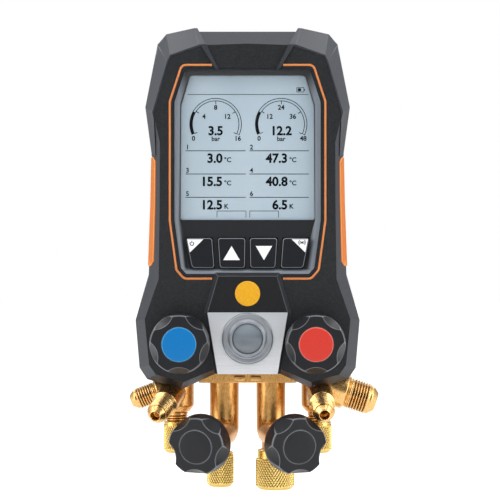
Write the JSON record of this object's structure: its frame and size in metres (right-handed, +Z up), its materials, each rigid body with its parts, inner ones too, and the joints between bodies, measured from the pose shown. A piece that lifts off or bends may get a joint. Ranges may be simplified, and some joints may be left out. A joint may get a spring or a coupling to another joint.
{
  "type": "refrigerant manifold gauge",
  "caption": "Hand-held digital manifold gauge: display and keys over a brass block with hand valves, sight glass and flare ports.",
  "frame": {"origin": "the pivot of the folding hook on the back, on the centre line", "axes": "+X to the reader's right, +Z up, the display faces -Y"},
  "size_m": [0.1261, 0.0761, 0.2318],
  "materials": {
    "housing_plastic": "fine texture",
    "bumper_rubber": "satin",
    "grip_rubber": "satin",
    "trim_plastic": "satin",
    "bezel_plastic": "satin",
    "cover_plastic": "semi-gloss",
    "window_glass": "polished",
    "lcd": "satin",
    "key_rubber": "satin",
    "board": "satin",
    "disc_colour": "gloss",
    "brushed_plate": "brushed",
    "sight_ring_metal": "polished",
    "sight_lens": "polished",
    "seal_rubber": "matt",
    "brass": "machined",
    "steel": "machined",
    "knob_plastic": "satin",
    "cap_blue": "satin",
    "cap_red": "satin",
    "cell_wrap": "gloss"
  },
  "bodies": {
    "root": {"front_housing": "housing_plastic", "rear_housing": "housing_plastic", "corner_bumper_left": "bumper_rubber", "corner_bumper_right": "bumper_rubber", "side_grip_left": "grip_rubber", "side_grip_right": "grip_rubber", "trim_line_left": "trim_plastic", "trim_line_right": "trim_plastic", "display_bezel": "bezel_plastic", "display_window": "window_glass", "lcd_module": "lcd", "keypad_mat": "key_rubber", "main_board": "board", "centre_cover": "cover_plastic", "badge_disc": "disc_colour", "face_plate": "brushed_plate", "sight_glass_ring": "sight_ring_metal", "sight_glass_lens": "sight_lens", "sight_glass_seal": "seal_rubber", "valve_block": "brass", "outer_body_left": "brass", "outer_body_right": "brass", "inner_body_left": "brass", "inner_body_right": "brass", "flare_side_left": "brass", "flare_front_left": "brass", "flare_front_right": "brass", "flare_side_right": "brass", "hook_pin": "steel", "battery_tray": "housing_plastic", "batteries": "cell_wrap", "screws": "steel", "pressure_sensors": "steel", "gland_nuts": "brass"},
    "hook": {"hook": "steel"},
    "battery_cover": {"battery_cover": "housing_plastic"},
    "key_back": {"key_back": "key_rubber"},
    "key_up": {"key_up": "key_rubber"},
    "key_down": {"key_down": "key_rubber"},
    "key_enter": {"key_enter": "key_rubber"},
    "knob_upper_left": {"knob_upper_left": "knob_plastic", "knob_cap_upper_left": "cap_blue", "spindle_upper_left": "steel"},
    "piston_upper_left": {"piston_upper_left": "brass"},
    "knob_upper_right": {"knob_upper_right": "knob_plastic", "knob_cap_upper_right": "cap_red", "spindle_upper_right": "steel"},
    "piston_upper_right": {"piston_upper_right": "brass"},
    "knob_lower_left": {"knob_lower_left": "knob_plastic", "knob_cap_lower_left": "knob_plastic", "spindle_lower_left": "steel"},
    "piston_lower_left": {"piston_lower_left": "brass"},
    "knob_lower_right": {"knob_lower_right": "knob_plastic", "knob_cap_lower_right": "knob_plastic", "spindle_lower_right": "steel"},
    "piston_lower_right": {"piston_lower_right": "brass"},
    "screw_cap_outer_left": {"screw_cap_outer_left": "brass"},
    "screw_cap_inner_left": {"screw_cap_inner_left": "brass"},
    "screw_cap_inner_right": {"screw_cap_inner_right": "brass"},
    "screw_cap_outer_right": {"screw_cap_outer_right": "brass"}
  },
  "joints": [
    {"name": "hook_fold", "type": "hinge", "parent": "root", "child": "hook", "pos_m": [0, 0, 0], "axis": [1, 0, 0], "range_deg": [0, 180]},
    {"name": "battery_cover_lift", "type": "slide", "parent": "root", "child": "battery_cover", "axis": [0, 1, 0], "range_m": [0, 0.02]},
    {"name": "key_back_press", "type": "slide", "parent": "root", "child": "key_back", "axis": [0, 1, 0], "range_m": [0, 0.0008], "stiffness_N_per_m": 400},
    {"name": "key_up_press", "type": "slide", "parent": "root", "child": "key_up", "axis": [0, 1, 0], "range_m": [0, 0.0008], "stiffness_N_per_m": 400},
    {"name": "key_down_press", "type": "slide", "parent": "root", "child": "key_down", "axis": [0, 1, 0], "range_m": [0, 0.0008], "stiffness_N_per_m": 400},
    {"name": "key_enter_press", "type": "slide", "parent": "root", "child": "key_enter", "axis": [0, 1, 0], "range_m": [0, 0.0008], "stiffness_N_per_m": 400},
    {"name": "knob_upper_left_turn", "type": "hinge", "parent": "root", "child": "knob_upper_left", "pos_m": [-0.0331, -0.025, -0.1343], "axis": [0, -1, 0], "range_deg": [0, 720]},
    {"name": "piston_upper_left_lift", "type": "slide", "parent": "root", "child": "piston_upper_left", "axis": [0, -1, 0], "range_m": [0, 0.0025]},
    {"name": "knob_upper_right_turn", "type": "hinge", "parent": "root", "child": "knob_upper_right", "pos_m": [0.0331, -0.025, -0.1343], "axis": [0, -1, 0], "range_deg": [0, 720]},
    {"name": "piston_upper_right_lift", "type": "slide", "parent": "root", "child": "piston_upper_right", "axis": [0, -1, 0], "range_m": [0, 0.0025]},
    {"name": "knob_lower_left_turn", "type": "hinge", "parent": "root", "child": "knob_lower_left", "pos_m": [-0.0118, -0.025, -0.1803], "axis": [-0.3078, -0.9474, -0.0872], "range_deg": [0, 720]},
    {"name": "piston_lower_left_lift", "type": "slide", "parent": "root", "child": "piston_lower_left", "axis": [-0.3078, -0.9474, -0.0872], "range_m": [0, 0.0025]},
    {"name": "knob_lower_right_turn", "type": "hinge", "parent": "root", "child": "knob_lower_right", "pos_m": [0.0118, -0.025, -0.1803], "axis": [0.3078, -0.9474, -0.0872], "range_deg": [0, 720]},
    {"name": "piston_lower_right_lift", "type": "slide", "parent": "root", "child": "piston_lower_right", "axis": [0.3078, -0.9474, -0.0872], "range_m": [0, 0.0025]},
    {"name": "screw_cap_outer_left_off", "type": "slide", "parent": "root", "child": "screw_cap_outer_left", "axis": [0, 0, -1], "range_m": [0, 0.018]},
    {"name": "screw_cap_inner_left_off", "type": "slide", "parent": "root", "child": "screw_cap_inner_left", "axis": [0, 0, -1], "range_m": [0, 0.02]},
    {"name": "screw_cap_inner_right_off", "type": "slide", "parent": "root", "child": "screw_cap_inner_right", "axis": [0, 0, -1], "range_m": [0, 0.022]},
    {"name": "screw_cap_outer_right_off", "type": "slide", "parent": "root", "child": "screw_cap_outer_right", "axis": [0, 0, -1], "range_m": [0, 0.018]}
  ],
  "couplings": [
    {"joint": "piston_upper_left_lift", "follows": "knob_upper_left_turn", "m_per_rad": 0.00019894},
    {"joint": "piston_upper_right_lift", "follows": "knob_upper_right_turn", "m_per_rad": 0.00019894},
    {"joint": "piston_lower_left_lift", "follows": "knob_lower_left_turn", "m_per_rad": 0.00019894},
    {"joint": "piston_lower_right_lift", "follows": "knob_lower_right_turn", "m_per_rad": 0.00019894}
  ]
}
